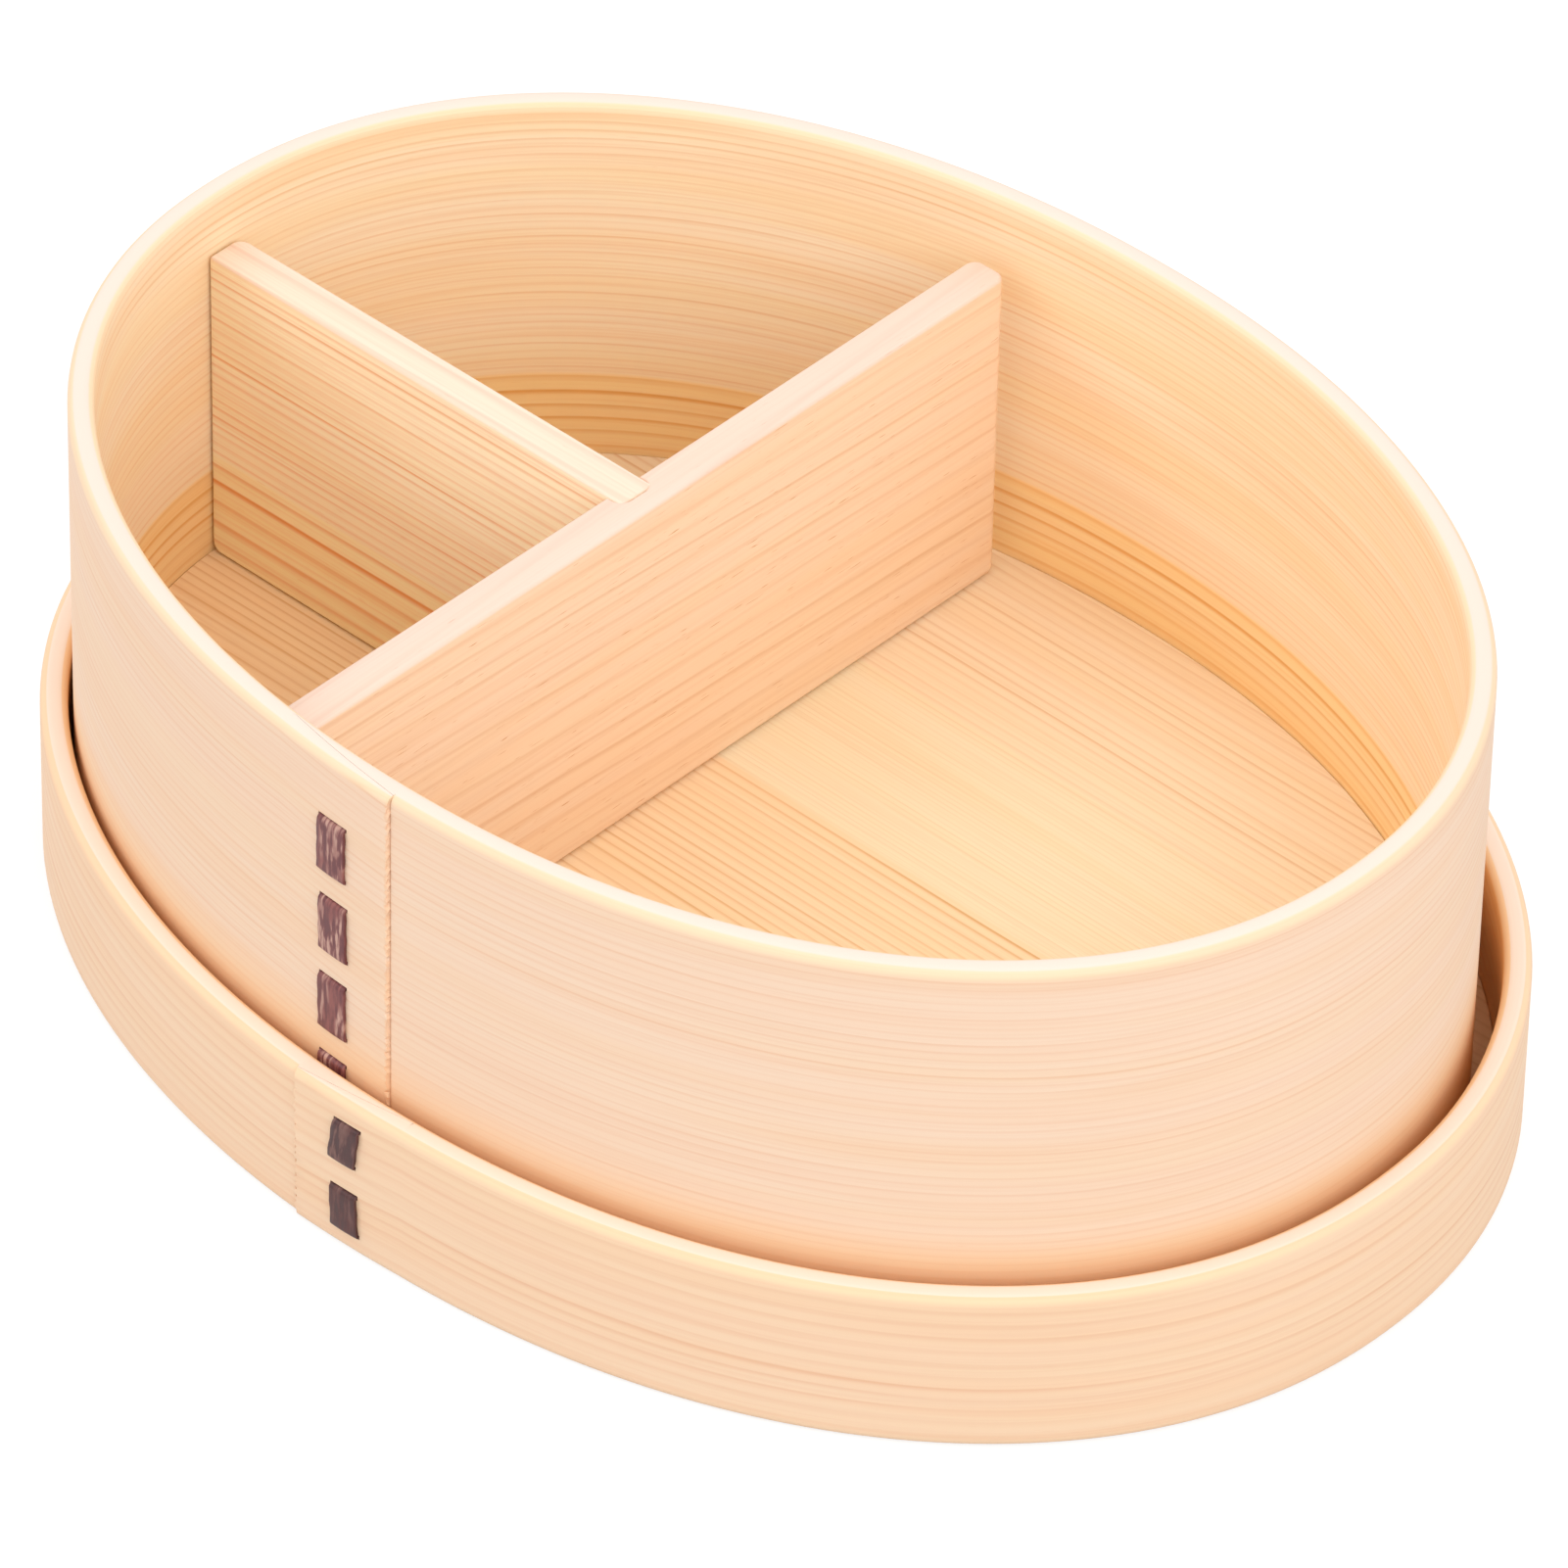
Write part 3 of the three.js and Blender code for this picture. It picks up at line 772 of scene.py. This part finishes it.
def planed_group():
    outputs = [("Color", "Color"), ("Roughness", "Float"), ("Height", "Float")]
    tree, enter, leave = open_group("planed wood", PLANED_INPUTS, outputs)
    board, seed, line = enter["Board"], enter["Seed"], enter["Line"]
    rings = node(tree, "Group", node_tree=growth_rings)
    for socket in rings.inputs:
        tree.links.new(enter[socket.name], socket)
    late, heart = rings.outputs["Late Wood"], rings.outputs["Heart"]
    upper = ramp(tree, rings.outputs["Side"], -ZONE_BORDER, ZONE_BORDER)
    warm = blend(tree, upper, enter["Warm Low"], enter["Warm High"])
    tone = blend(tree, heart, enter["Pale"], warm)
    for scales, shift, tint in (YELLOW_DRIFT, PINK_DRIFT):
        drift = stretched_noise(tree, board, scales, 2.0, maths(tree, "ADD", seed, shift))
        drift = maths(tree, "MULTIPLY", ramp(tree, drift, 0.35, 0.65), enter["Drift Amount"])
        tone = blend(tree, drift, tone, colour(tint), "MULTIPLY")
    strong = maths(tree, "MULTIPLY_ADD", upper, -UPPER_LINES_LOST, 1.0)
    strength = ramp(tree, heart, 0.0, 1.0, enter["Pale Lines"], strong)
    strength = maths(tree, "MULTIPLY", enter["Line Amount"], strength)
    lined = blend(tree, maths(tree, "MULTIPLY", late, strength), tone, line)
    fibre = stretched_noise(tree, board, FIBRES, 3.0, seed)
    streak = maths(tree, "MULTIPLY", ramp(tree, fibre, 0.42, 0.72), enter["Fibre Amount"])
    streaked = blend(tree, streak, lined, line)
    flecks = ramp(tree, stretched_noise(tree, board, FLECKS, 1.0, seed), 0.71, 0.79)
    flecked = blend(tree, maths(tree, "MULTIPLY", flecks, enter["Fleck Amount"]), streaked, line)
    rough = maths(tree, "MULTIPLY_ADD", fibre, FIBRE_ROUGHNESS, SMOOTHEST)
    relief = maths(tree, "MULTIPLY_ADD", late, 0.5, maths(tree, "MULTIPLY", fibre, 0.5))
    tree.links.new(flecked, leave["Color"])
    tree.links.new(rough, leave["Roughness"])
    tree.links.new(relief, leave["Height"])
    return tree


planed_wood = planed_group()
print("group", planed_wood.name, "with", len(planed_wood.nodes), "nodes")

# %% [markdown]
# ## Sanded edges
# Rims and top edges are cut across or along the fibres and rubbed smooth, so they look paler
# than the faces, with a yellower glow on the rounds beside them. One small group mixes a colour
# in by the distance below the edge. Each hoop uses it once for the glow and once for the top, and
# each divider once for its top.

# %% The sanded edge group
FULL_SHARE = 0.4


def sanded_group():
    tree, enter, leave = open_group(
        "sanded edge",
        [
            ("Color", "Color", colour("f6dcc0")), ("Below", "Float", 0.0), ("Depth", "Float", 1 * MM),
            ("Edge Color", "Color", colour("fff2e0")), ("Amount", "Float", 0.7),
        ],
        [("Color", "Color")],
    )
    near = maths(tree, "MULTIPLY", enter["Depth"], FULL_SHARE)
    share = ramp(tree, enter["Below"], near, enter["Depth"], 1.0, 0.0)
    share = maths(tree, "MULTIPLY", share, enter["Amount"])
    mixed = blend(tree, share, enter["Color"], enter["Edge Color"])
    tree.links.new(mixed, leave["Color"])
    return tree


sanded_edge = sanded_group()
print("group", sanded_edge.name, "with", len(sanded_edge.nodes), "nodes")

# %% [markdown]
# ## The woods
# The hoops read their grain from the flat board that each point remembers. The boards read the
# object's own coordinates, turned so that the grain runs along each board. Bare wood has a soft,
# broad shine, so the roughness is high and only the fibres vary it. A hoop's outside has been
# handled and has seen more light than its inside, so its lines are fainter and its tint greyer.
# The body's outside is painted warmer towards its foot, and the lid's inside too, where the two
# face each other: this tint is painted warm bounce light, the glow in the gap between them. At the
# seam the end grain shows as a ragged, darker line.

# %% Where a material finds itself on its board
def flat_board_place(tree):
    """A bent board's own flat coordinates: along, up and through."""
    return node(tree, "Attribute", attribute_name="board").outputs["Vector"]


def turned_place(order):
    """Object coordinates, put in the order along the grain, across it and through the board."""

    def place(tree):
        own = node(tree, "TexCoord").outputs["Object"]
        parts = node(tree, "SeparateXYZ", {0: own}).outputs
        return node(tree, "CombineXYZ", {i: parts[axis] for i, axis in enumerate(order)}).outputs[0]

    return place


# %% Building a wood material
OUTER_SKIN = (-2.4 * MM, -0.8 * MM)
INNER_SKIN = (-2.9 * MM, -1.9 * MM)
TIP_FIBRES, TIP_RAGGED = (0, 1700, 0), 1.4 * MM
WOOD_BUMP, WOOD_RELIEF = 0.08, 0.08 * MM
WOOD_SPECULAR = 0.3


def wood_material(name, coordinate, values, top, edges, outside=None, tip=None, foot=None, inside=None):
    """A planed wood. Each of the edges is a depth below the top, a colour and an amount.

    The rest is for hoops. outside and inside are a colour and an amount, tip has two places along
    the board and foot two heights, between which their colour fades out from its full amount.
    foot is painted warm bounce light on the outer face, and so is inside on the lid.
    """
    material = bpy.data.materials.new(name)
    material.use_nodes = True
    tree = material.node_tree
    shader = tree.nodes["Principled BSDF"]
    board = coordinate(tree)
    wood = node(tree, "Group", {"Board": board, **values}, node_tree=planed_wood)
    place = node(tree, "SeparateXYZ", {0: board}).outputs
    tint = wood.outputs["Color"]
    if outside:
        outer, amount = outside
        tint = blend(tree, ramp(tree, place["Z"], *OUTER_SKIN, 0.0, amount), tint, outer)
    # The foot's tint is painted warm bounce light on the body's lower outside, where the lid's rim faces
    # it.
    if foot:
        low, high, painted_bounce_colour, amount = foot
        share = ramp(tree, place["Y"], low, high, amount, 0.0)
        share = maths(tree, "MULTIPLY", ramp(tree, place["Z"], *OUTER_SKIN), share)
        tint = blend(tree, share, tint, painted_bounce_colour)
    # On the lid the inside tint is painted warm bounce light, seen in the gap under the body.
    if inside:
        inner, amount = inside
        tint = blend(tree, ramp(tree, place["Z"], *INNER_SKIN, amount, 0.0), tint, inner)
    if tip:
        near, far, end_grain, amount = tip
        ragged = stretched_noise(tree, board, TIP_FIBRES, 2.0)
        ragged = maths(tree, "MULTIPLY_ADD", ragged, TIP_RAGGED, -TIP_RAGGED / 2)
        ragged = maths(tree, "ADD", place["X"], ragged)
        tint = blend(tree, ramp(tree, ragged, near, far, amount, 0.0), tint, end_grain)
    below = maths(tree, "SUBTRACT", top, place["Y"])
    for depth, rubbed, amount in edges:
        inputs = {"Color": tint, "Below": below, "Depth": depth, "Edge Color": rubbed, "Amount": amount}
        tint = node(tree, "Group", inputs, node_tree=sanded_edge).outputs["Color"]
    relief = {"Height": wood.outputs["Height"], "Strength": WOOD_BUMP, "Distance": WOOD_RELIEF}
    tree.links.new(tint, shader.inputs["Base Color"])
    tree.links.new(wood.outputs["Roughness"], shader.inputs["Roughness"])
    tree.links.new(node(tree, "Bump", relief).outputs[0], shader.inputs["Normal"])
    shader.inputs["Specular IOR Level"].default_value = WOOD_SPECULAR
    return material


# %% The hoops' wood
hoop_values = {
    "Pale": colour("fde8c9"), "Warm Low": colour("fedfab"), "Line": colour("e0942c"), "Line Amount": 0.84,
    "Pale Lines": 0.55, "Ring Width": 1.15 * MM, "Heart Rings": 1.8, "Uneven": 2.4 * MM, "Through": 3.4,
    "Sway": 2 * MM, "Line Share": 0.36, "Pale Middle": 45 * MM, "Pale Half": 35.5 * MM,
    "Drift Amount": 0.3, "Fibre Amount": 0.14, "Fleck Amount": 0.12, "Seed": 3.0,
}
lid_values = {
    **hoop_values, "Pale": colour("fcdcaa"), "Line Amount": 0.55, "Pale Lines": 1.0, "Ring Width": 1.8 * MM,
    "Uneven": 4 * MM, "Sway": 3.2 * MM, "Line Share": 0.5, "Pale Middle": 0.0, "Pale Half": 1.0,
    "Seed": 11.0,
}
YELLOW_ROUND = (1.5 * MM, colour("f6d9b4"), 0.7)
LID_ROUND = (1.1 * MM, colour("f8d4ac"), 0.7)
WHITE_TOP = (0.22 * MM, colour("f0ddcf"), 0.95)
CREAM_TOP = (0.13 * MM, colour("f8e4d4"), 0.85)
# The body's foot tint is painted warm bounce light from the lid's inside.
body_wood = wood_material(
    "body hoop wood", flat_board_place, hoop_values, body_hoop.height, [YELLOW_ROUND, WHITE_TOP],
    outside=(colour("e5bbaa"), 0.45), tip=(0.3 * MM, 0.6 * MM, colour("f0bf94"), 0.5),
    foot=(9 * MM, 25 * MM, colour("fbc47c"), 0.58),
)
# The lid's inside tint is painted warm bounce light, the glow in the gap under the body.
lid_wood = wood_material(
    "lid hoop wood", flat_board_place, lid_values, lid_hoop.height, [LID_ROUND, CREAM_TOP],
    outside=(colour("e6c7c5"), 0.38), tip=(0.2 * MM, 0.4 * MM, colour("f0cfae"), 0.4),
    inside=(colour("fec080"), 0.55),
)
print("woods:", body_wood.name, "and", lid_wood.name)

# %% The oval boards' wood
bottom_values = {
    "Pale": colour("fae9c8"), "Warm High": colour("fde8ca"), "Warm Low": colour("fee0b9"),
    "Line": colour("d08e2c"), "Line Amount": 0.84, "Pale Lines": 0.32, "Ring Width": 0.7 * MM,
    "Heart Rings": 2.0, "Uneven": 2 * MM, "Through": 0.3, "Sway": 2 * MM, "Line Share": 0.36,
    "Pale Middle": 26 * MM, "Pale Half": 12 * MM, "Drift Amount": 0.15, "Fibre Amount": 0.1,
    "Fleck Amount": 0.08, "Seed": 21.0,
}
# The lid panel's warmer colours are painted warm bounce light, like the lid's inside.
panel_values = {
    **bottom_values, "Pale": colour("fecf9e"), "Warm High": colour("fecf9e"), "Warm Low": colour("fecc98"),
    "Seed": 34.0,
}
bottom_wood = wood_material("bottom wood", turned_place("XYZ"), bottom_values, 0.0, [])
panel_wood = wood_material("panel wood", turned_place("XYZ"), panel_values, 0.0, [])
print("woods:", bottom_wood.name, "and", panel_wood.name)

# %% The dividers' wood
across_values = {
    "Pale": colour("f6ddc5"), "Line": colour("cc8c48"), "Line Amount": 0.5, "Pale Lines": 1.0,
    "Ring Width": 2.9 * MM, "Uneven": 4 * MM, "Slant": 0.05, "Through": 0.8, "Sway": 4 * MM,
    "Line Share": 0.26, "Drift Amount": 0.18, "Fibre Amount": 0.12, "Fleck Amount": 0.7, "Seed": 47.0,
}
along_values = {
    "Pale": colour("fff0d2"), "Warm Low": colour("fff0c8"), "Line": colour("e4842c"), "Line Amount": 1.1,
    "Pale Lines": 0.8, "Ring Width": 1.35 * MM, "Heart Rings": 2.0, "Uneven": 4 * MM, "Slant": -0.01,
    "Through": 0.5, "Sway": 2 * MM, "Line Share": 0.4, "Pale Middle": 52 * MM, "Pale Half": 25 * MM,
    "Drift Amount": 0.18, "Fibre Amount": 0.18, "Fleck Amount": 0.3, "Seed": 58.0,
}
WHITE_BOARD_TOP = (0.45 * MM, colour("ebcfc7"), 0.45)
board_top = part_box("divider_long")[1].z
across_wood = wood_material(
    "long divider wood", turned_place("YZX"), across_values, board_top, [WHITE_BOARD_TOP]
)
along_wood = wood_material(
    "short divider wood", turned_place("XZY"), along_values, board_top, [WHITE_BOARD_TOP]
)
print("woods:", across_wood.name, "and", along_wood.name)

# %% [markdown]
# ## Cherry bark
# Peeled bark is smooth, plum-brown and slightly shiny. Where a stitch was pulled tight its
# skin is scuffed in pale streaks along the ribbon. Noise drawn out along the ribbon makes the
# streaks, and the same noise makes the skin a little rougher and higher there.

# %% The bark material
BARK_STREAKS, BARK_PATCHES = (340, 1900, 100), (150, 420, 100)
SCUFF_COLOUR = colour("c9a091")
BARK_BUMP, BARK_RELIEF = 0.4, 0.08 * MM


def bark_material(name, dark, light, scuff_amount, seed):
    material = bpy.data.materials.new(name)
    material.use_nodes = True
    tree = material.node_tree
    shader = tree.nodes["Principled BSDF"]
    board = flat_board_place(tree)
    streaks = stretched_noise(tree, board, BARK_STREAKS, 3.0, seed)
    patches = stretched_noise(tree, board, BARK_PATCHES, 2.0, seed + 4)
    skin = blend(tree, ramp(tree, streaks, 0.35, 0.65), dark, light)
    scuffs = maths(tree, "MULTIPLY", ramp(tree, streaks, 0.46, 0.64), ramp(tree, patches, 0.4, 0.6))
    worn = blend(tree, maths(tree, "MULTIPLY", scuffs, scuff_amount), skin, SCUFF_COLOUR)
    relief = {"Height": streaks, "Strength": BARK_BUMP, "Distance": BARK_RELIEF}
    tree.links.new(worn, shader.inputs["Base Color"])
    tree.links.new(ramp(tree, streaks, 0.3, 0.7, 0.42, 0.62), shader.inputs["Roughness"])
    tree.links.new(node(tree, "Bump", relief).outputs[0], shader.inputs["Normal"])
    return material


body_bark_skin = bark_material("body bark", colour("653033"), colour("8d5450"), 0.9, 2.0)
lid_bark_skin = bark_material("lid bark", colour("432020"), colour("583230"), 0.18, 7.0)
print("bark:", body_bark_skin.name, "and", lid_bark_skin.name)

# %% [markdown]
# ## Handing each piece its wood and its body
# Every piece stands for one node of the construction, which it hides, moves with that node's body
# and is given its own wood.

# %% Dressing the construction
DRESSING = [
    (bent_body, "body_hoop", "body", "hoop_wood", body_wood),
    (bottom_board, "body_bottom", "body", "board_wood", bottom_wood),
    (body_bark, "body_bark_stitch", "body", "bark", body_bark_skin),
    (bent_lid, "lid_hoop", "lid", "hoop_wood", lid_wood),
    (lid_board, "lid_panel", "lid", "board_wood", panel_wood),
    (lid_bark, "lid_bark_stitch", "lid", "bark", lid_bark_skin),
    (across_divider, "divider_long", "long_divider", "divider_wood", across_wood),
    (along_divider, "divider_short", "short_divider", "board_wood", along_wood),
]
for piece, cad_node, body, slot, material in DRESSING:
    piece.data.materials.append(material)
    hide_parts(cad_node)
    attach(piece, body)
print(len(DRESSING), "pieces dressed")

# %% [markdown]
# ## Floor and light
# The box stands on a white sheet in soft light. The sheet and the sky look white to the camera
# and in reflections, but light the box no more than plain ones would. So the wood keeps its
# colours, the picture has a white ground, and the box still throws its shadow on it.

# %% The white sheet
SHEET_HALF = 3
SHEET_DROP = 0.05 * MM
SHEET_GREY, SHEET_SHOWN, SHEET_GLOW = 0.62, 0.3, 0.74


def seen_directly(tree):
    """1 for what the camera, a mirror or a glass sees, and 0 where light falls on other things."""
    path = node(tree, "LightPath").outputs
    seen = maths(tree, "MAXIMUM", path["Is Camera Ray"], path["Is Glossy Ray"])
    return maths(tree, "MAXIMUM", seen, path["Is Transmission Ray"])


def matt(tree, grey):
    return node(tree, "BsdfDiffuse", {"Color": (grey, grey, grey, 1)}).outputs[0]


def white_sheet():
    bm = bmesh.new()
    bmesh.ops.create_grid(bm, x_segments=1, y_segments=1, size=SHEET_HALF)
    bmesh.ops.translate(bm, vec=(0, 0, -SHEET_DROP), verts=bm.verts)
    sheet = finished(bm, "white_sheet")
    material = bpy.data.materials.new("white sheet")
    material.use_nodes = True
    tree = material.node_tree
    tree.nodes.clear()
    glow = node(tree, "Emission", {"Strength": SHEET_GLOW}).outputs[0]
    shown = node(tree, "AddShader", {0: matt(tree, SHEET_SHOWN), 1: glow}).outputs[0]
    inputs = {0: seen_directly(tree), 1: matt(tree, SHEET_GREY), 2: shown}
    node(tree, "OutputMaterial", {"Surface": node(tree, "MixShader", inputs).outputs[0]})
    sheet.data.materials.append(material)


white_sheet()

# %% Sky and lamps
WORLD_LIGHT = 0.99
SOFTBOX_SIZE = 0.9
SOFTBOX_DISTANCE = 1.6
SOFTBOXES = [("left_softbox", -40, 40, 4.2), ("right_softbox", 74, 38, 6.4), ("front_softbox", 40, 50, 0.8)]


def sky():
    world = bpy.data.worlds.new("studio")
    bpy.context.scene.world = world
    world.use_nodes = True
    tree = world.node_tree
    tree.nodes.clear()
    strength = maths(tree, "MULTIPLY_ADD", seen_directly(tree), 1 - WORLD_LIGHT, WORLD_LIGHT)
    light = node(tree, "Background", {"Color": (1, 1, 1, 1), "Strength": strength}).outputs[0]
    node(tree, "OutputWorld", {"Surface": light})


def softbox(name, azimuth, elevation, power):
    """A square lamp that looks at the box. Azimuth 0 is in front, and 90 is at the right end."""
    turn, climb = math.radians(azimuth), math.radians(elevation)
    out = Vector((math.sin(turn) * math.cos(climb), -math.cos(turn) * math.cos(climb), math.sin(climb)))
    light = bpy.data.lights.new(name, "AREA")
    light.shape, light.size, light.energy = "SQUARE", SOFTBOX_SIZE, power
    lamp = bpy.data.objects.new(name, light)
    lamp.location = out * SOFTBOX_DISTANCE
    lamp.rotation_euler = out.to_track_quat("Z", "Y").to_euler()
    bpy.context.scene.collection.objects.link(lamp)


sky()
for settings in SOFTBOXES:
    softbox(*settings)
print(len(SOFTBOXES), "lamps of", round(sum(power for *_, power in SOFTBOXES), 1), "watts together")

# %% [markdown]
# ## The camera
# The angles, distance and lens were fitted to the two ovals and the boards' straight edges in
# the photograph. The lens is worked out for a square picture, 1601 pixels each way, and a long
# lens from a metre and a half away keeps the ovals almost free of perspective.

# %% A long lens from above the front left
PICTURE = 1601
SENSOR = 36.0
AZIMUTH, ELEVATION, ROLL = math.radians(42.09), math.radians(39.96), math.radians(1.34)
DISTANCE = 1555 * MM
PIXELS_PER_METRE = 8.887 / MM
AIM_HEIGHT = 30 * MM
AIM_SHIFT = (1.67 * MM, -3.54 * MM)


def photo_camera():
    reach = math.cos(ELEVATION)
    back = Vector((math.sin(AZIMUTH) * reach, -math.cos(AZIMUTH) * reach, math.sin(ELEVATION)))
    level = Vector((math.cos(AZIMUTH), math.sin(AZIMUTH), 0))
    upright = back.cross(level)
    right = level * math.cos(ROLL) + upright * math.sin(ROLL)
    up = back.cross(right)
    middle = Vector((body_hoop.centre.x, body_hoop.centre.y, AIM_HEIGHT))
    aim = middle + right * AIM_SHIFT[0] + up * AIM_SHIFT[1]
    data = bpy.data.cameras.new("photo_camera")
    data.sensor_width = SENSOR
    data.lens = PIXELS_PER_METRE * DISTANCE / PICTURE * SENSOR
    camera = bpy.data.objects.new("photo_camera", data)
    bpy.context.scene.collection.objects.link(camera)
    camera.matrix_world = Matrix((right, up, back)).transposed().to_4x4()
    camera.location = aim + back * DISTANCE
    bpy.context.scene.camera = camera
    print("lens", round(data.lens), "mm")


photo_camera()
bpy.context.scene.view_settings.view_transform = "Standard"
